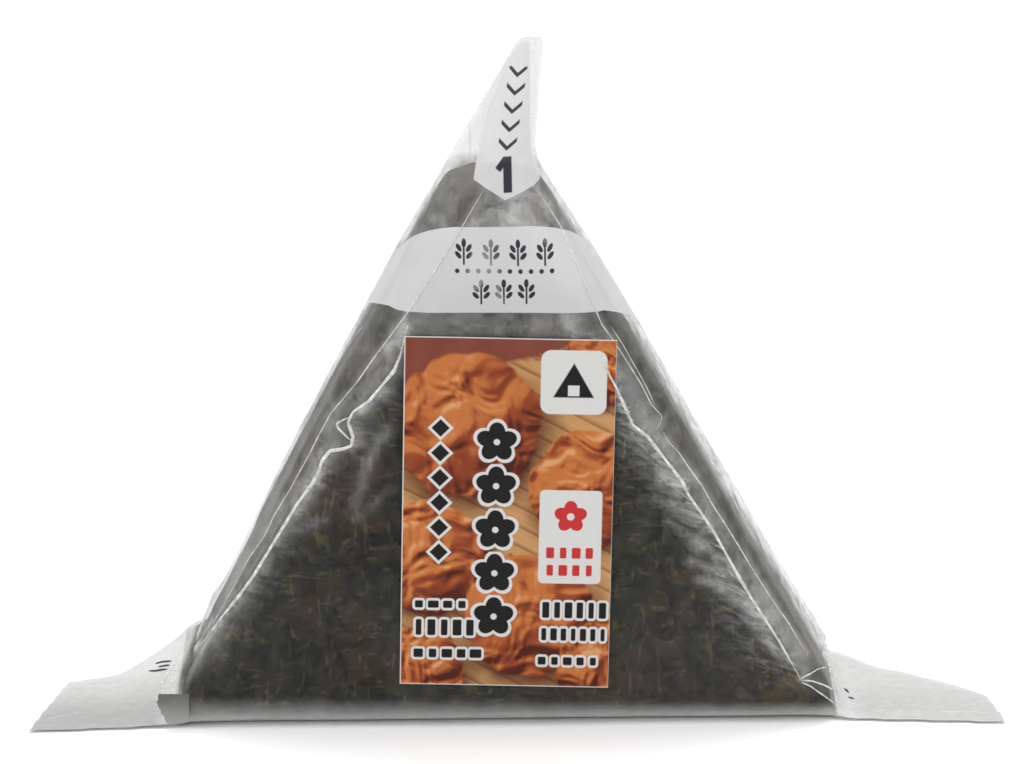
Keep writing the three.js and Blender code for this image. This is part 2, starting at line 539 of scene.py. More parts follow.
# %% [markdown]
# The solid's tails are over a millimetre thick, and real film is two layers with a little air between them. Each
# tail's upper side is let down towards its lower side, and the sheet is left a little wavy. Its rear edge is drawn
# in towards the front. Last, the fold where a tail leaves the body is softened.

# %% Let the tails down
TAIL_ENDS = 64.0
LEFT_TAIL_FROM, LEFT_TAIL_FLAT = 44.4, 47.4
RIGHT_TAIL_FROM, RIGHT_TAIL_FLAT = 43.4, 45.4
TAIL_LAYER_SHARE = 0.25
TAIL_WAVE = 0.1
TAIL_SHEET_FROM = 47
LEFT_STRETCH, RIGHT_STRETCH = 0.7, 0.2
LEFT_DRAWN_IN, RIGHT_DRAWN_IN = (1.2, 3.9), (4.5, 1.5)  # at the root and at the tip

rows = corners(film)
out = smooth_step(-rows[:, 0], LEFT_TAIL_FROM, LEFT_TAIL_FLAT)
out += smooth_step(rows[:, 0], RIGHT_TAIL_FROM, RIGHT_TAIL_FLAT)
wave = signed_noise(rows * (1, 0.5, 0.2), 12, 3)
for i in np.nonzero(out > 0)[0]:
    x, y, z = rows[i]
    below = solid_tree.ray_cast(Vector((x, y, -5)) * MM, Vector((0, 0, 1)))[0]
    ground = 0.2 if below is None else below.z / MM
    share = 1 + (TAIL_LAYER_SHARE - 1) * out[i]
    rows[i, 2] = ground + (z - ground) * share + TAIL_WAVE * out[i] * (0.5 + wave[i])
along = np.clip((np.abs(rows[:, 0]) - TAIL_SHEET_FROM) / (TAIL_ENDS - TAIL_SHEET_FROM), 0, 1.1)
rear = smooth_step(rows[:, 1], -12, 8)
left_in, right_in = np.interp(along, (0, 1), LEFT_DRAWN_IN), np.interp(along, (0, 1), RIGHT_DRAWN_IN)
drawn_in = np.where(rows[:, 0] > 0, right_in, left_in) * smooth_step(np.abs(rows[:, 0]), 45, 51)
rows[:, 1] -= drawn_in * rear
rows[:, 0] += along * np.where(rows[:, 0] > 0, RIGHT_STRETCH, -LEFT_STRETCH)
move_corners(film, rows)
soften(film, smooth_step(np.abs(rows[:, 0]), 41.8, 43.6) * smooth_step(rows[:, 2], 17, 13), 20)

# %% [markdown]
# The creases are drawn over the photograph, point by point, and sent onto the film along the camera's rays. Near
# each line the film is pulled outwards in a soft ridge, and next to it it sinks back onto the nori.

# %% Crease lines, as pixels of the photograph
CREASES = {
    "left_main": [(408, 325), (400, 356), (394, 371), (379, 389), (369, 401), (353, 412), (348, 422), (353, 437),
                  (351, 446), (343, 449), (330, 451), (322, 461), (318, 473), (312, 484), (297, 504), (285, 524),
                  (271, 547), (254, 575), (241, 593), (221, 618), (208, 636), (197, 648)],
    "left_foot": [(193, 650), (183, 672), (174, 694)],
    "left_loop": [(350, 417), (343, 420), (337, 423), (338, 428), (343, 433), (349, 439), (353, 441)],
    "left_thin": [(485, 188), (474, 206), (462, 227), (432, 275), (406, 315), (391, 335), (374, 358), (358, 381),
                  (343, 399), (331, 413), (319, 435), (310, 453), (292, 486), (274, 516), (264, 537), (249, 558),
                  (232, 590), (215, 620), (203, 636)],
    "left_flap": [(367, 321), (355, 336), (343, 354), (330, 378), (316, 405)],
    "right_main": [(600, 352), (609, 374), (617, 389), (633, 425), (648, 437), (664, 458), (682, 481), (689, 496),
                   (702, 514), (715, 534), (725, 552), (735, 570), (750, 596), (763, 616), (779, 641), (800, 678)],
    "right_thin": [(534, 186), (548, 206), (561, 227), (583, 280), (602, 325), (615, 343), (631, 368), (641, 384),
                   (651, 404), (662, 416), (661, 422), (656, 430)],
    "right_lower": [(661, 428), (668, 441), (679, 453), (689, 468), (702, 486), (712, 504), (725, 524), (738, 545),
                    (753, 570), (771, 598), (789, 624), (804, 649), (808, 652), (807, 656)],
    "right_second": [(610, 325), (623, 345), (636, 368), (646, 386), (655, 405)],
    "right_flap": [(626, 322), (636, 328), (650, 350), (664, 371), (687, 414), (712, 463), (722, 476), (738, 509),
                   (753, 532)],
    "fan_high": [(800, 679), (810, 674), (818, 669), (827, 667)],
    "fan_middle": [(800, 680), (812, 681), (824, 685), (835, 691)],
    "fan_low": [(801, 682), (810, 686), (820, 693), (830, 700), (836, 704)],
    "fan_tail": [(839, 704), (843, 707), (848, 712)],
    "right_corner": [(822, 636), (826, 650), (829, 665), (832, 682), (836, 700), (837, 713)],
    "left_glint": [(177, 658), (174, 664), (167, 675), (161, 686), (164, 694)],
    "left_glint_thin": [(175, 668), (172, 680), (171, 694)],
    "left_tail_fold": [(66, 690), (92, 689), (120, 690), (150, 689)],
    "left_tail_seal": [(44, 720), (62, 716), (80, 712)],
    "right_tail_fold": [(852, 712), (890, 711), (930, 712), (970, 712), (996, 713)],
    "right_tail_seal": [(845, 716), (866, 719), (890, 720)],
}  # fmt: skip
RIDGES = {  # each crease's height and half width, and the radius of its pinched edge, in millimetres
    "left_main": (0.42, 0.9, 0.27),
    "left_foot": (0.05, 1.0, 0),
    "left_loop": (0.2, 0.5, 0.16),
    "left_thin": (0.16, 0.5, 0.1),
    "left_flap": (0.1, 0.5, 0.07),
    "right_main": (0.42, 0.9, 0.24),
    "right_thin": (0.16, 0.5, 0.1),
    "right_lower": (0.16, 0.5, 0.11),
    "right_second": (0.08, 0.4, 0.07),
    "right_flap": (0.14, 0.5, 0.1),
    "fan_high": (0.2, 0.5, 0.12),
    "fan_middle": (0.2, 0.5, 0.12),
    "fan_low": (0.2, 0.5, 0.13),
    "fan_tail": (0.1, 0.5, 0.1),
    "right_corner": (0.12, 0.5, 0.2),
    "left_glint": (0.15, 0.5, 0.22),
    "left_glint_thin": (0.1, 0.4, 0.12),
    "left_tail_fold": (0.05, 0.8, 0.06),
    "left_tail_seal": (0.03, 0.5, 0.06),
    "right_tail_fold": (0.05, 0.8, 0.08),
    "right_tail_seal": (0.03, 0.5, 0.07),
}


def tree_of(piece):
    return BVHTree.FromObject(piece, bpy.context.evaluated_depsgraph_get())


def onto(tree, line, lift=0.0):
    """Where the camera's rays through pixels meet a piece, in metres, lifted towards it by some millimetres."""
    hits = (tree.ray_cast(camera.location, ray_through(px, py))[0] for px, py in line)
    return [hit + (camera.location - hit).normalized() * lift * MM for hit in hits if hit is not None]


def finely(line, step=2):
    """A line of pixels with more pixels between them, so what follows it hugs the film."""
    fine = [line[0]]
    for a, b in zip(line, line[1:]):
        count = max(1, round(math.dist(a, b) / step))
        fine += [(a[0] + (b[0] - a[0]) * k / count, a[1] + (b[1] - a[1]) * k / count) for k in range(1, count + 1)]
    return fine


def distance_to_line(rows, line):
    """Each row's distance to a line of places, in the rows' own unit."""
    best = np.full(len(rows), np.inf)
    for a, b in zip(line, line[1:]):
        a, b = np.array(a), np.array(b)
        share = np.clip((rows - a) @ (b - a) / ((b - a) @ (b - a)), 0, 1)
        best = np.minimum(best, np.linalg.norm(rows - a - share[:, None] * (b - a), axis=1))
    return best


def at_height(line, z):
    """The x of an upright line at the heights z."""
    ordered = sorted((p.z, p.x) for p in line)
    return np.interp(z, [p[0] for p in ordered], [p[1] for p in ordered])


film_tree = tree_of(film)
crease_lines = {name: [p / MM for p in onto(film_tree, line)] for name, line in CREASES.items()}
print("creases", {name: len(line) for name, line in crease_lines.items()})

# %% [markdown]
# The two main creases are where the film turns from the flat front to the slopes. Between them the film is drawn
# forward to the flat, and outside them it falls away straight to the side, as taut film does. At the back it stays
# rounded, close to the nori.

# %% Turn the film at the main creases
FRONT_Y = 15.0
FRONT_HALF = -7.5
FACET_WIDTH = 2.6
FACET_TOP, FACET_FADE = 50.0, 56.0

rows = corners(film)
x, y, z = rows.T
left_edge = at_height(crease_lines["left_main"] + crease_lines["left_foot"] + crease_lines["left_thin"][:3], z)
right_edge = at_height(crease_lines["right_main"] + crease_lines["fan_low"] + crease_lines["right_thin"][:3], z)
outside = np.maximum(left_edge - x, x - right_edge)
flat = np.clip(1 - outside / FACET_WIDTH, 0, 1) * (y < FRONT_HALF) * smooth_step(z, FACET_FADE, FACET_TOP)
flat *= smooth_step(z, 2.5, 5) * smooth_step(np.abs(x), 44, 42.5)
rows[:, 1] -= np.maximum(FRONT_Y + y, 0) * flat
move_corners(film, rows)
film_tree = tree_of(film)
crease_lines = {name: [p / MM for p in onto(film_tree, line)] for name, line in CREASES.items()}
back_lines = {
    name: [Vector((p.x, -p.y, p.z)) for p in line] for name, line in crease_lines.items() if "tail" not in name
}
print("furthest forward", round(-rows[:, 1].min(), 2), "mm")

# %% Pull the creases up
ROUGH_LIFT = 0.14
SLOW_LIFT = 0.16
SINK_SHARE = 0.25
FINAL_GAP = 0.2

rows = corners(film)
normals = np.empty(len(rows) * 3)
film.data.vertices.foreach_get("normal", normals)
normals = normals.reshape(-1, 3)
lift = np.zeros(len(rows))
near_crease = np.zeros(len(rows))
for lines in (crease_lines, back_lines):
    for name, line in lines.items():
        ridge_height, half_width, _ = RIDGES[name]
        far = distance_to_line(rows, line)
        lift += ridge_height * np.exp(-((far / half_width) ** 2))
        lift -= SINK_SHARE * ridge_height * np.exp(-(((far - 2.2 * half_width) / half_width) ** 2))
        if name.endswith("main"):
            near_crease = np.maximum(near_crease, np.exp(-far / 2.2))
on_body = smooth_step(np.abs(rows[:, 0]), 44.5, 41.5)
lift += near_crease * signed_noise(rows, 3.5, 11) * ROUGH_LIFT * on_body * smooth_step(rows[:, 2], 6, 14)
lift += signed_noise(rows, 12, 5) * SLOW_LIFT * on_body
rows += normals * lift[:, None]
rows[:, 2] = np.maximum(rows[:, 2], 0.0)
move_corners(film, rows)
film_tree = tree_of(film)
rows = corners(nori)
move_corners(nori, draw_back(rows, film_tree, np.full(len(rows), FINAL_GAP)))

# %% [markdown]
# Seen through film, dark nori looks darkest where the film touches it. Where the film stands off, and where it is
# two layers thick, it is milky. Light is painted into the same white: a faint painted sheen over the clear film, a
# painted reflection of the overhead light above the label, of the table along the base and of the sky towards the back
# of the slopes, a painted glow just inside the main creases, and painted glints like whiskers beside them. How much
# white each spot has comes from its place: outside the creases, above the label, along the base, towards the back of
# the slopes and in the tails. Painted highlights along the creases and above the label, with one darker painted patch,
# are drawn over the photograph as the creases were. All of it is stored on the mesh, so the finish can read it. The
# painted rim reflections at the back of the slopes change with height: each is given as heights and what it is there.

# %% How milky the film is, and the light painted into it
# A faint even white over the clear film: a little haze, and a painted sheen in place of most of its mirroring.
CLEAR_MILK = 0.022
UPPER_MILK = 0.25
RIGHT_RIM_MILK, RIGHT_RIM_FROM, RIGHT_RIM_TO = ([18, 28], [0.55, 0.72]), ([18, 28, 45, 60], [-9, -13, -13, -7]), 2
LEFT_RIM_MILK, LEFT_RIM_FROM, LEFT_RIM_TO = ([20, 30, 60], [0.4, 0.6, 0.75]), ([20, 30, 40, 60], [6, 0, -2, -14]), 12
OUTER_MILK = 0.2
FLANK_MILK = 0.08
BASE_MILK = 0.6
HALO_MILK = 0.3
WEB_MILK = 0.62
LEFT_WHISKERS = 0.35
TAIL_MILK = 0.72
PEAK_MILK = 0.14
PEAK_FROM = 74.8
# Painted highlights where the film would mirror light: streaks beside the creases and a broad one above the label. The
# last entry, with a negative strength, paints a darker patch beside that one.
WISPS = [  # strength, half width in millimetres, and pixels of the photograph
    (0.1, 0.8, [(388, 430), (374, 452), (363, 476), (355, 506)]),
    (0.05, 0.6, [(387, 492), (372, 508), (352, 520)]),
    (0.07, 0.7, [(326, 520), (305, 526), (292, 532)]),
    (0.14, 1.0, [(316, 474), (308, 492), (296, 510)]),
    (0.2, 0.8, [(404, 328), (398, 342), (388, 350)]),
    (0.2, 0.9, [(384, 392), (374, 402), (362, 410)]),
    (0.14, 1.0, [(634, 432), (660, 462), (680, 486)]),
    (0.18, 1.2, [(662, 480), (684, 500), (704, 524)]),
    (0.14, 1.0, [(700, 540), (716, 560), (730, 576)]),
    (0.2, 0.7, [(700, 580), (716, 584), (738, 596)]),
    (0.14, 0.6, [(690, 560), (704, 566), (716, 574)]),
    (0.16, 0.8, [(738, 600), (752, 606), (764, 622)]),
    (0.14, 0.8, [(750, 618), (764, 634), (776, 652)]),
    (0.12, 0.5, [(668, 520), (684, 532), (700, 548)]),
    (0.1, 0.5, [(654, 500), (670, 508), (690, 518)]),
    (0.16, 1.4, [(514, 202), (512, 218), (508, 234)]),
    (0.2, 1.0, [(566, 316), (570, 326), (577, 340)]),
    (-0.1, 1.6, [(474, 200), (466, 212), (460, 228)]),
]


rows = corners(film)
x, y, z = rows.T
neck_left, neck_right = crease_lines["left_thin"][:3], crease_lines["right_thin"][:3]
left_edge = at_height(crease_lines["left_main"] + crease_lines["left_foot"] + neck_left, z)
right_edge = at_height(crease_lines["right_main"] + crease_lines["fan_low"] + neck_right, z)
outside = np.maximum(left_edge - x, x - right_edge)
thin_left = at_height(crease_lines["left_thin"], z)
thin_right = at_height(crease_lines["right_thin"] + crease_lines["right_lower"], z)
beyond = np.maximum(thin_left - x, x - thin_right)
outer = OUTER_MILK + (FLANK_MILK - OUTER_MILK) * smooth_step(beyond, -0.2, 1.0)
milk = CLEAR_MILK + outer * smooth_step(outside, -0.2, 0.8)
# Above the label the film is partly milky and partly lighter from a painted reflection of the overhead light.
upper = UPPER_MILK * (0.66 + 0.54 * smooth_step(z, 57, 68)) * (1 - 0.4 * smooth_step(beyond, -0.2, 1.0))
milk = np.maximum(milk, upper * smooth_step(z, 46, 53))
# A painted highlight: a soft glow just inside the main creases, stronger on the left.
halo = HALO_MILK * np.exp(outside / 1.1) * (outside < 0) * smooth_step(z, 5, 13) * (1 - smooth_step(z, 44, 52))
milk += halo * np.where(x < 0, 1, 0.4)
web = smooth_step(left_edge - x, -0.2, 0.6) * (1 - smooth_step(z, 8, 12))
milk = np.maximum(milk, WEB_MILK * web)
# Painted reflection: the base strip turns lighter towards its bottom edge, where the rounded film faces the white
# table.
base_line = 4.5 - 0.0245 * x + 0.5 * signed_noise(rows * (1, 0, 0), 3, 17)
milk = np.maximum(milk, BASE_MILK * np.clip((base_line - z) / (base_line - 0.9), 0, 1) ** 1.8)
for strength, half_width, line in WISPS:
    places = [p / MM for p in onto(film_tree, line)]
    milk += strength * np.exp(-((distance_to_line(rows, places) / half_width) ** 2))
milk = np.maximum(milk, PEAK_MILK * smooth_step(z, PEAK_FROM - 0.6, PEAK_FROM + 1.2))
# Painted reflection: towards the back of each slope the film turns lighter, as glancing film mirrors the bright sky.
right_from, left_from = np.interp(z, *RIGHT_RIM_FROM), np.interp(z, *LEFT_RIM_FROM)
right_rim = np.interp(z, *RIGHT_RIM_MILK) * smooth_step(y, right_from, RIGHT_RIM_TO)
left_rim = np.interp(z, *LEFT_RIM_MILK) * smooth_step(y, left_from, LEFT_RIM_TO)
rim = np.where(x > 0, right_rim, left_rim) * smooth_step(beyond, -1.5, 0.8)
milk = np.maximum(milk, rim * (1 - 0.85 * smooth_step(z, 71.5, 74)))
milk = np.maximum(milk, TAIL_MILK * smooth_step(-x, 44.2, 45.6))
milk = np.maximum(milk, TAIL_MILK * smooth_step(x, 43.0, 43.9))
# Painted glints: feathery streaks just inside the main creases, mostly on the right.
whiskered = near_crease * (outside < 0.4) * np.where(x > 0, 1, LEFT_WHISKERS) * smooth_step(z, 3, 9)
for name, values in (("milk", milk), ("crease", whiskered)):
    layer = film.data.attributes.new(name, "FLOAT", "POINT")
    layer.data.foreach_set("value", np.clip(values, 0, 1))
pick(film)
bpy.ops.object.shade_smooth()
hand_over(film, "film_wrap", "film_pack")

# %% [markdown]
# The sharpest part of a crease is film pinched to a thin line. Its white is partly the pinched film and partly a
# painted glint, standing in for the lamps a fold mirrors. Each line is a fine tube that lies half in the film, with
# ends that taper away.

# %% Fold lines
CORD_LIFT = 0.05


def fold(name, places, radius):
    """A thin ridge of pinched film along places in metres, tapered to nothing at both ends."""
    curve = bpy.data.curves.new(name, "CURVE")
    curve.dimensions = "3D"
    curve.bevel_depth = radius * MM
    curve.bevel_resolution = 2
    curve.use_fill_caps = True
    spline = curve.splines.new("NURBS")
    spline.points.add(len(places) - 1)
    for k, place in enumerate(places):
        spline.points[k].co = (*place, 1)
        end = min(k, len(places) - 1 - k) / len(places) * 6
        spline.points[k].radius = min(1, 0.15 + end) * (0.8 + 0.35 * noise.noise(place / MM / 3))
    spline.order_u = 3
    spline.use_endpoint_u = True
    spline.resolution_u = 2
    piece = bpy.data.objects.new(name, curve)
    scene.collection.objects.link(piece)
    pick(piece)
    bpy.ops.object.convert(target="MESH")
    bpy.ops.object.shade_smooth()
    return bpy.context.object


fold_pieces = []
for name, pixels in CREASES.items():
    if RIDGES[name][2] > 0:
        route = onto(film_tree, finely(pixels), CORD_LIFT)
        fold_pieces.append(fold("fold_" + name, route, RIDGES[name][2]))

# %% [markdown]
# ## Finish of the nori
#
# Nori is pressed seaweed: nearly black, with olive and brown flecks of leaf and fine fibres that run in every
# direction. Two slow noises mix the three colours, and a fine stretched noise lays the fibres over them. A golden
# patch low on the right is a painted glint, where the wrinkled nori would catch the light.


# %% Nori finish
def nori_finish():
    finish = Finish("nori_sheet")
    place = finish.place()
    slow = finish.noise(place, 13, 3, 0.55, 0.5)
    patch = finish.noise(place, 3, 2.5, 0.55, 0.8)
    fibre = finish.noise(finish.stretch(place, 0.9, 1, 0.3), 1.5, 1.5, 0.5, 1.6)
    cross = finish.noise(finish.stretch(place, 0.3, 1, 0.9), 1.3, 1.5, 0.5, 1.8)
    dark, olive, brown = (0.008, 0.008, 0.007), (0.042, 0.038, 0.017), (0.06, 0.031, 0.017)
    tone = finish.mix(finish.step(patch, 0.36, 0.66), dark, olive)
    tone = finish.mix(finish.step(slow, 0.48, 0.66) * finish.step(patch, 0.34, 0.6), tone, brown)
    flecks = finish.step(fibre, 0.58, 0.7).either(finish.step(cross, 0.59, 0.71))
    flecks = flecks * finish.ramp(patch, 0.4, 0.65, 0.25, 0.8)
    tone = finish.mix(flecks, tone, (0.15, 0.115, 0.052))
    x, _, z = finish.split(place)
    # A painted glint: a golden patch low on the right, where the wrinkled nori would catch the light.
    golden = finish.step(((x - 37) ** 2 + (z - 4.6) ** 2 * 2) ** 0.5, 5.5, 1.5)
    tone = finish.mix(golden * finish.step(patch, 0.36, 0.58) * 0.7, tone, (0.10, 0.066, 0.016))
    normal = finish.bump(patch * 0.7 + fibre * 0.3, 0.35, 0.5)
    gloss = finish.ramp(patch, 0.3, 0.7, 0.45, 0.62)
    shader = finish.principled(Base_Color=tone, Roughness=gloss, Normal=normal, Specular_IOR_Level=0.16)
    return finish.surface(shader)


nori.data.materials.append(nori_finish())

# %% [markdown]
# ## Finish of the film
#
# Clear film is a Transparent shader with a Glossy one over it, mixed by Fresnel: it mirrors little when seen
# straight on and more at a glancing angle. Under the gloss a white Principled shader is mixed in as far as the film
# is milky there, and the same white carries the painted reflections and highlights stored on the mesh and painted
# glints along the creases. A very small share of white over dark nori would turn out grainy. So below a least share
# the share stays as it is, and its white gets darker instead. The print belongs to the same sheet, so it is more white
# ink in the same mix.


# %% Shapes of the print, as masks
def bar(finish, u, v, centre, half, soft=0.07):
    """1 inside an upright rectangle given by its centre and half sizes."""
    across = finish.step(abs(u - centre[0]), half[0] + soft, half[0] - soft)
    return across * finish.step(abs(v - centre[1]), half[1] + soft, half[1] - soft)


def disc(finish, u, v, centre, radius, soft=0.07):
    far = ((u - centre[0]) ** 2 + (v - centre[1]) ** 2) ** 0.5
    return finish.step(far, radius + soft, radius - soft)


def slanted_bar(finish, u, v, centre, half, angle):
    """The same rectangle turned anticlockwise by an angle."""
    c, s = math.cos(angle), math.sin(angle)
    du, dv = u - centre[0], v - centre[1]
    return bar(finish, du * c + dv * s, dv * c - du * s, (0, 0), half)


def grain(finish, u, v, centre, half, angle=0.0):
    """1 inside an oval, such as a grain of rice."""
    c, s = math.cos(angle), math.sin(angle)
    du, dv = u - centre[0], v - centre[1]
    along, across = (dv * c - du * s) / half[1], (du * c + dv * s) / half[0]
    return finish.step(along**2 + across**2, 1.12, 0.88)


def rice_ear(finish, u, v):
    """A stalk with a grain on top and two on each side, about 3 mm tall, about the origin."""
    side = abs(u)
    ear = grain(finish, side, v, (0, 1.1), (0.3, 0.55))
    ear = ear.either(grain(finish, side, v, (0.66, 0.5), (0.28, 0.55), -0.6))
    ear = ear.either(grain(finish, side, v, (0.72, -0.4), (0.28, 0.55), -0.75))
    return ear.either(bar(finish, side, v, (0, -0.5), (0.13, 1.1)))


# %% Film finish
BAND_TOP, BAND_BOTTOM = 67.85, 56.95
TAB_TIP = (0.1, 71.0)
TAB_SHOULDER = 73.0
WHISKER_SLOPE = math.radians(-24)
MIRROR_FROM, MIRROR_SHARE, MIRROR_MOST = 0.0255, 0.62, 0.08
DULL_SHARE = 0.3
LAP_MIDDLE, LAP_HALF, TAPE_HALF = 0.4, 5.05, 1.0
MILK_WHITE, INK_WHITE, TAIL_SHADE = (0.76, 0.76, 0.75), (0.6, 0.6, 0.605), (0.5, 0.5, 0.495)
INK_DARK, INK_WORN = (0.028, 0.026, 0.036), (0.3, 0.3, 0.31)


def film_shader(finish, milk, normal, white, least=DULL_SHARE):
    """The first value says how much of a white sheet is seen, haze and painted light together. Below the least share
    it stays and the sheet gets darker.
    """
    share = milk.either(least)
    clear = finish.node("ShaderNodeBsdfTransparent", None, {0: (0.965, 0.97, 0.965)})
    dull = finish.mix(milk / share, (0, 0, 0), white)
    milky = finish.principled(Base_Color=dull, Roughness=0.5, Specular_IOR_Level=0.2)
    gloss = finish.node("ShaderNodeBsdfAnisotropic", None, {"Color": (1, 1, 1), "Roughness": 0.13, "Normal": normal})
    mirror = finish.node("ShaderNodeFresnel", None, {"IOR": 1.38, "Normal": normal}) - MIRROR_FROM
    mirror = (mirror * MIRROR_SHARE).either(0).least(MIRROR_MOST)
    return finish.blend(mirror, finish.blend(share, clear, milky), gloss)


def film_finish():
    finish = Finish("film_and_print")
    place = finish.place()
    x, y, z = finish.split(place)
    crumple = finish.noise(finish.stretch(place, 1, 1, 0.5), 5, 3, 0.5)
    fine = finish.noise(place, 1.3, 3, 0.6)
    normal = finish.bump(crumple, 0.25, 1.2)
    along = x * math.cos(WHISKER_SLOPE) + z * math.sin(WHISKER_SLOPE)
    across = z * math.cos(WHISKER_SLOPE) - x * math.sin(WHISKER_SLOPE)
    whiskers = finish.noise(finish.join(along * 0.3, across, y * 0.3), 1.3, 5, 0.7, 1.4)
    # Painted glints: the stored nearness to a crease, broken into slanted whiskers, adds white.
    feather = finish.attribute("crease") * finish.step(whiskers, 0.4, 0.75) * 0.6
    on_body = finish.step(abs(x), 46, 44)
    mottle = finish.noise(finish.stretch(place, 1, 0.4, 1), 2.4, 2.5, 0.6, 0.6)
    uneven = (crumple - 0.5) * 1.2 + (mottle - 0.5) * 2.2
    uneven = uneven * on_body * finish.step(z, 3, 8) * finish.step(z, 76, 70)
    milk = finish.attribute("milk") * (uneven + 1).either(0.1) + feather
    inner_layer = finish.step(x, -16.7, -16.5) * finish.step(z, 24, 12) * finish.step(y, -11, -13)
    milk = milk + inner_layer * 0.012

    lap = abs(x - LAP_MIDDLE) * finish.step(y, -0.5, 0.5) + finish.step(y, 0.5, -0.5) * 99
    milk = milk + finish.step(lap, LAP_HALF + 0.05, LAP_HALF - 0.05) * 0.06
    milk = milk.either(finish.step(abs(lap - LAP_HALF), 0.2, 0.1) * 0.4)
    milk = milk.either(finish.step(lap, TAPE_HALF + 0.05, TAPE_HALF - 0.05) * 0.5)
    milk = milk * finish.ramp(fine, 0.3, 0.7, 0.92, 1.08)

    front = finish.step(y, 0.5, -0.5)
    level = z + (y + 12).either(0.0) * 0.268
    round_slopes = finish.step(y, 10.5, 9.5)
    top_drop = (((x + 1) ** 2) ** 2 * 0.00007).least(5)
    bottom_drop = (((x + 5) ** 2) ** 2 * 0.0000045 + x * 0.008).least(3.4) - (-14 - x).either(0.0) * 0.25
    band = finish.step(level + top_drop, BAND_TOP + 0.08, BAND_TOP - 0.08)
    band = band * finish.step(level + bottom_drop, BAND_BOTTOM - 0.08, BAND_BOTTOM + 0.08) * round_slopes
    lean = (z - TAB_SHOULDER - 3).either(0.0)
    left_side = x - (z - TAB_SHOULDER) * 0.17 + 4.1 - lean**2 * 0.018
    tab = finish.step(left_side, -0.08, 0.08)
    rise = ((TAB_TIP[0] - x) * 0.62).either((x - TAB_TIP[0]) * 0.35)
    tab = tab * finish.step(z - rise, TAB_TIP[1] - 0.08, TAB_TIP[1] + 0.08)
    tab = tab * finish.step(x + (z - TAB_SHOULDER).least(3.4) * 0.5, 5.3, 5.14) * front
    ink = band.either(tab)
    milk = milk.either(ink * finish.ramp(crumple, 0.3, 0.7, 0.86, 0.93))

    one = slanted_bar(finish, x, z, (0.45, 74.1), (0.56, 2.2), 0.01)
    one = one.either(slanted_bar(finish, x, z, (-0.3, 75.35), (0.42, 0.85), -0.67))
    middle = x - (z - 78) * 0.17 - 0.5
    chevrons = (z - abs(middle) * 0.85).math("MODULO", 2.2)
    chevrons = finish.step(chevrons, 0.62, 0.5) * finish.step(abs(middle), 1.25, 1.13)
    chevrons = chevrons * finish.step(z, 76.7, 76.9) * finish.step(z, 87.2, 87)
    mark = abs(((x + 7.1) / 3.52).math("FRACT") - 0.5) * 3.52
    ears = rice_ear(finish, mark, z - 64.65 + x * 0.03) * finish.step(abs(x + 0.06), 7.1, 7)
    small = abs(((x + 4.6) / 2.94).math("FRACT") - 0.5) * 2.94
    ears = ears.either(rice_ear(finish, small, z - 59.7) * finish.step(abs(x + 0.19), 4.45, 4.35))
    dot = abs(((x + 6.9) / 1.37).math("FRACT") - 0.5) * 1.37
    dots = disc(finish, dot, z + x * 0.02, (0, 62.35), 0.3) * finish.step(abs(x + 0.05), 6.85, 6.75)
    dark = one.either(chevrons).either(ears).either(dots) * front
    worn = finish.step(finish.noise(finish.stretch(place, 1, 0, 0.4), 3.4, 1), 0.5, 0.62) * finish.step(z, 72, 70)
    ink_tone = finish.mix(worn * 0.75, INK_DARK, INK_WORN)
    shaded = finish.step(y, 4, -12) * finish.step(abs(x), 45, 48) * finish.ramp(x, -1, 1, 1, 0.45)
    sheet = finish.mix(shaded, MILK_WHITE, TAIL_SHADE)
    inked = finish.mix(dark, finish.mix(ink, sheet, INK_WHITE), ink_tone)
    least = finish.ramp(z, PEAK_FROM - 2, PEAK_FROM - 1, DULL_SHARE, 0.05)
    return finish.surface(film_shader(finish, milk.either(dark * 0.97).least(1.0), normal, inked, least))


film.data.materials.append(film_finish())


# %% Fold finish, with a painted glint
def fold_finish():
    finish = Finish("pinched_film")
    place = finish.place()
    cloud = finish.noise(place, 1.1, 3)
    # The white is partly pinched film and partly a painted glint, standing in for the lamps a fold mirrors.
    milk = finish.ramp(cloud, 0.35, 0.7, 0.35, 0.95)
    return finish.surface(film_shader(finish, milk, finish.bump(cloud, 0.3, 0.3), (0.85, 0.85, 0.84)))


fold_material = fold_finish()
for piece in fold_pieces:
    piece.data.materials.append(fold_material)
    hand_over(piece, piece.name, "film_pack")

# %% [markdown]
# A step number is printed on each tail. It is seen at a very flat angle and mostly under a fold, so only a few strokes
# of it show. They are drawn as the creases were, as thin dark strokes that lie on the film.

# %% Printed strokes on the tails
STROKE_RADIUS = 0.21
STROKES = {
    "left_high": [(155, 664), (162, 662), (172, 661)],
    "left_middle": [(158, 667), (164, 666), (170, 665)],
    "left_low": [(148, 671), (155, 671), (162, 670), (168, 669)],
    "right_high": [(844, 688), (846, 690), (849, 693)],
    "right_low": [(848, 697), (851, 698), (854, 699)],
}


def stroke_finish():
    finish = Finish("dark_strokes")
    tone = finish.mix(finish.noise(finish.place(), 1, 2), (0.02, 0.02, 0.026), (0.05, 0.048, 0.056))
    return finish.surface(finish.principled(Base_Color=tone, Roughness=0.5))


stroke_material = stroke_finish()
for name, pixels in STROKES.items():
    piece = fold("print_" + name, onto(film_tree, finely(pixels), CORD_LIFT), STROKE_RADIUS)
    piece.data.materials.append(stroke_material)
    hand_over(piece, piece.name, "film_pack")

# %% [markdown]
# At the lower left the nori's edge sticks out past the rice, flat under the film. It is a small grid, set on the
# front plane through the photograph's pixels, with a torn outer edge.

# %% The nori's loose corner
FLAP_TOP, FLAP_BOTTOM, FLAP_INNER = 694, 725, 189
FLAP_OUTER = [159, 157, 160, 164, 168]
FLAP_Y = -14.7

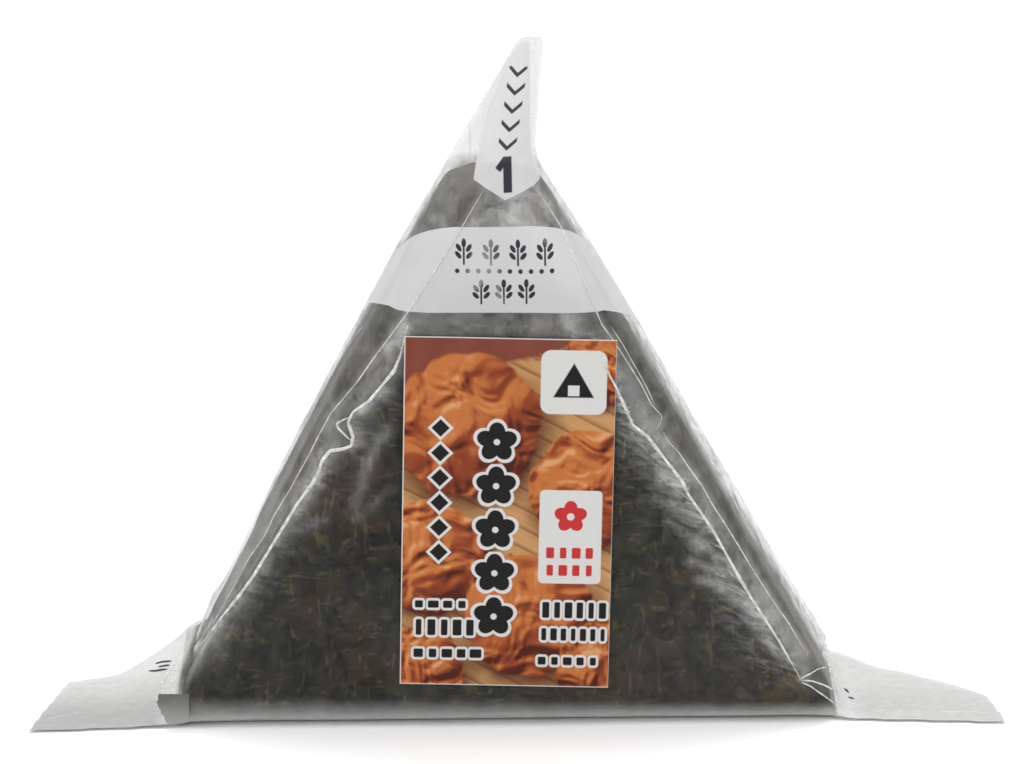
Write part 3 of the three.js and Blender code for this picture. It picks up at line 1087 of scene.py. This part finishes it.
bpy.ops.object.select_all(action="DESELECT")
bpy.ops.mesh.primitive_grid_add(x_subdivisions=10, y_subdivisions=16, size=1)
flap = bpy.context.object
rows = corners(flap) * MM
for i, (across, up, _) in enumerate(rows):
    down = 0.5 - up
    outer = np.interp(down, np.linspace(0, 1, len(FLAP_OUTER)), FLAP_OUTER)
    outer += 1.6 * noise.noise(Vector((down * 9, 0, 4)))
    px = outer + (FLAP_INNER - outer) * (across + 0.5)
    bottom = FLAP_BOTTOM - 3 * (across + 0.5)
    place = spot(px, FLAP_TOP + (bottom - FLAP_TOP) * down, FLAP_Y * MM) / MM
    rows[i] = (place.x, place.y + 0.25 * noise.noise(place / 2), max(place.z, 0.1))
move_corners(flap, rows)
modify(flap, "SOLIDIFY", thickness=0.2 * MM, offset=0)
bpy.ops.object.mode_set(mode="EDIT")
bpy.ops.mesh.select_all(action="SELECT")
bpy.ops.mesh.normals_make_consistent(inside=False)
leave_edit()
bpy.ops.object.shade_smooth_by_angle(angle=math.radians(40))


def flap_finish():
    finish = Finish("veiled_nori")
    place = finish.place()
    _, _, z = finish.split(place)
    cloud = (finish.noise(place, 1.6, 3) - 0.5) * 0.3
    # Lighter towards the bottom: a painted reflection of the white table, as along the film's base.
    tone = finish.mix(finish.step(z, 5, 0.3) + cloud, (0.1, 0.1, 0.092), (0.32, 0.32, 0.3))
    return finish.surface(finish.principled(Base_Color=tone, Roughness=0.45))


flap.data.materials.append(flap_finish())
hand_over(flap, "nori_loose_corner", "film_pack")

# %% [markdown]
# ## The label
#
# A rectangle of satin paper with a thin white rim. Its picture is print, so it is made of fields of colour: pickled
# plums on slats of pale wood before a dark board, and plain panels and marks over them.

# %% Label sheet
LABEL_WIDTH, LABEL_HEIGHT = 27.7, 47.7
LABEL_TILT = math.radians(1.8)
LABEL_THICKNESS = 0.14
LABEL_WAVE = 0.12

bpy.ops.object.select_all(action="DESELECT")
middle = (label_low + label_high) / 2
bpy.ops.mesh.primitive_grid_add(
    x_subdivisions=56,
    y_subdivisions=94,
    size=MM,
    location=(middle.x, label_high.y - 0.1 * MM, middle.z),
    rotation=(math.pi / 2, LABEL_TILT, 0),
)
label = bpy.context.object
label.scale = (LABEL_WIDTH, LABEL_HEIGHT, 1)
settle(label)
rows = corners(label)
rows[:, 1] += LABEL_WAVE * (signed_noise(rows, 11, 2) - 0.5)
move_corners(label, rows)
modify(label, "SOLIDIFY", thickness=LABEL_THICKNESS * MM, offset=-1)
pick(label)
bpy.ops.object.shade_smooth_by_angle(angle=math.radians(40))

# %% [markdown]
# Print on the label is drawn by distance. Each mark has an edge value, in millimetres: below 0 inside it, above 0
# outside. A step at 0 fills the mark, and a step a little further out lays a pale outline round it.


# %% Edges of the label's marks
PAPER = (0.62, 0.62, 0.605)
LABEL_BLACK, LABEL_RED = (0.01, 0.009, 0.009), (0.5, 0.03, 0.028)
BRISTLE = 0.06
LABEL_ROWS = [  # where the first mark stands, the pitch, how many, their height on the label, and their half size
    (19.6, 1.72, 4, 18.6, (0.5, 0.75)),
    (19.6, 1.72, 4, 16.2, (0.5, 0.75)),
    (19.2, 1.5, 6, 10.7, (0.42, 1.1)),
    (19.0, 1.3, 7, 7.3, (0.36, 0.85)),
    (18.8, 1.7, 5, 3.6, (0.5, 0.55)),
    (2.4, 1.9, 4, 11.2, (0.62, 0.5)),
    (2.4, 1.7, 5, 8.0, (0.5, 1.1)),
    (2.4, 1.9, 5, 4.4, (0.66, 0.6)),
]
RED_ROWS = 18.6, 16.2


def round_box(u, v, centre, half, corner=0.2):
    """The edge value of a rectangle with round corners."""
    across = (abs(u - centre[0]) - (half[0] - corner)).either(0)
    along = (abs(v - centre[1]) - (half[1] - corner)).either(0)
    return (across**2 + along**2) ** 0.5 - corner


def blossom(u, v, centre, radius):
    """The edge value of a plum blossom with five petals."""
    du, dv = u - centre[0], v - centre[1]
    petals = abs((du.math("ARCTAN2", dv) * 2.5).math("COSINE"))
    return (du**2 + dv**2) ** 0.5 - (petals * 0.32 + 0.68) * radius


def row_of(value, first, pitch, count):
    """Folds a row of marks onto one about 0. Also gives the mark's number in the row."""
    number = ((value - first) / pitch).math("ROUND").either(0).least(count - 1)
    return value - number * pitch - first, number


def printed(finish, tone, edge, ink, outline=0.42):
    """A mark over a tone, with a pale outline."""
    tone = finish.mix(finish.step(edge, outline + BRISTLE, outline - BRISTLE), tone, PAPER)
    return finish.mix(finish.step(edge, BRISTLE, -BRISTLE), tone, ink)


# %% The label's picture: pickled plums on a slatted board
PLUMS = [((26.4, 44.6), 5.6), ((8.4, 35.8), 9.8), ((24.8, 27.6), 8.0), ((3.6, 17.6), 7.8), ((16.8, 9.8), 8.6),
         ((27.4, 2.8), 6.6), ((2.4, 1.8), 6.2)]  # fmt: skip
PLUM_TONES = (0.07, 0.012, 0.006), (0.25, 0.048, 0.014), (0.5, 0.155, 0.04), (0.66, 0.35, 0.16)
SLAT_LIGHT, SLAT_DARK, SLAT_GAP = (0.6, 0.35, 0.15), (0.4, 0.185, 0.065), (0.17, 0.055, 0.02)
SLAT_PITCH = 2.7
BOARD_TONES = (0.16, 0.035, 0.02), (0.23, 0.066, 0.044)


def plum_picture(finish, u, v):
    slow = finish.noise(finish.join(u, v), 3.2, 3, 0.6, 0.5)
    slant = u * 0.5 + v
    streaks = finish.noise(finish.stretch(finish.join(u, slant), 0.14, 1, 1), 0.5, 3)
    tone = finish.mix(streaks, SLAT_LIGHT, SLAT_DARK)
    tone = finish.mix(finish.step(slant.math("MODULO", SLAT_PITCH), 0.8, 0.0) * 0.7, tone, SLAT_GAP)
    behind = finish.step(v - u * 0.28 + slow * 3, 41.5, 42.5)
    tone = finish.mix(behind, tone, finish.mix(slow, *BOARD_TONES))
    for number, (centre, radius) in enumerate(PLUMS):
        du, dv = (u - centre[0]) / radius, (v - centre[1]) / radius
        wrinkles, moved = (
            finish.noise(finish.join(u + 31 * number + step, v - 1.3 * step), radius * 0.62, 2.2, 0.5, 0.9)
            for step in (0.0, 0.4)
        )
        far = (du**2 + dv**2) ** 0.5 + (wrinkles - 0.5) * 0.3
        tone = finish.mix(finish.step(far, 1.4, 0.9) * finish.step(dv - du * 0.4, 1, -0.8), tone, PLUM_TONES[0])
        light = dv * 0.3 - du * 0.22 - far * 0.22 + (wrinkles - moved) * 4.2 + 0.62
        flesh = finish.mix(finish.step(light, -0.1, 0.4), PLUM_TONES[0], PLUM_TONES[1])
        flesh = finish.mix(finish.step(light, 0.32, 0.78), flesh, PLUM_TONES[2])
        flesh = finish.mix(finish.step(light, 0.8, 1.25) * 0.8, flesh, PLUM_TONES[3])
        tone = finish.mix(finish.step(far, 1.03, 0.97), tone, flesh)
    return tone


# %% Label finish
def label_finish():
    finish = Finish("label_print")
    place = finish.node("ShaderNodeTexCoord", output=2)
    u, v, _ = finish.split(finish.stretch(place, LABEL_WIDTH, LABEL_HEIGHT, 1))
    tone = plum_picture(finish, u, v)

    tone = printed(finish, tone, round_box(u, v, (22.2, 41.9), (3.9, 3.9), 0.9), PAPER)
    side, up = abs(u - 22.2), v - 41.4
    rice_ball = (side * 0.866 + up * 0.5).either(0 - up) - 1.35
    tone = finish.mix(finish.step(rice_ball, 0.3, 0.1), tone, LABEL_BLACK)
    tone = finish.mix(bar(finish, side, up, (0, -0.62), (0.75, 0.72)), tone, PAPER)

    beside, _ = row_of(v, 9.6, 6.0, 5)
    tone = printed(finish, tone, blossom(u, beside, (12.3, 0), 2.7), LABEL_BLACK, 0.5)
    tone = finish.mix(disc(finish, u, beside, (12.3, 0), 0.42), tone, PAPER)
    beside, _ = row_of(v, 18.4, 3.4, 6)
    tone = printed(finish, tone, (abs(u - 4.9) + abs(beside)) * 0.707 - 0.85, LABEL_BLACK, 0.36)

    tone = printed(finish, tone, round_box(u, v, (22.2, 20.8), (3.7, 6.0), 0.2), PAPER)
    tone = finish.mix(finish.step(blossom(u, v, (22.2, 23.6), 2.2), BRISTLE, -BRISTLE), tone, LABEL_RED)
    tone = finish.mix(disc(finish, u, v, (22.2, 23.6), 0.5), tone, PAPER)
    for first, pitch, count, height, half in LABEL_ROWS:
        beside, number = row_of(u, first, pitch, count)
        change = (number * 0.618 + height).math("FRACT") - 0.5
        mark = round_box(beside, v, (0, height), (half[0] + change * half[0] * 0.5, half[1]))
        if height in RED_ROWS:
            tone = finish.mix(finish.step(mark, BRISTLE, -BRISTLE), tone, LABEL_RED)
        else:
            tone = printed(finish, tone, mark, LABEL_BLACK, 0.34)

    rim = bar(finish, u, v, (13.9, 23.85), (13.76, 23.74))
    tone = finish.mix(1 - rim, tone, PAPER)
    flat = finish.join(u, v)
    normal = finish.bump(finish.noise(flat, 0.5, 3), 0.1, 0.05)
    gloss = finish.ramp(finish.noise(flat, 3.2, 3), 0.3, 0.7, 0.44, 0.54)
    shader = finish.principled(Base_Color=tone, Roughness=gloss, Normal=normal, Specular_IOR_Level=0.16)
    return finish.surface(shader)


label.data.materials.append(label_finish())
hand_over(label, "paper_label", "label")
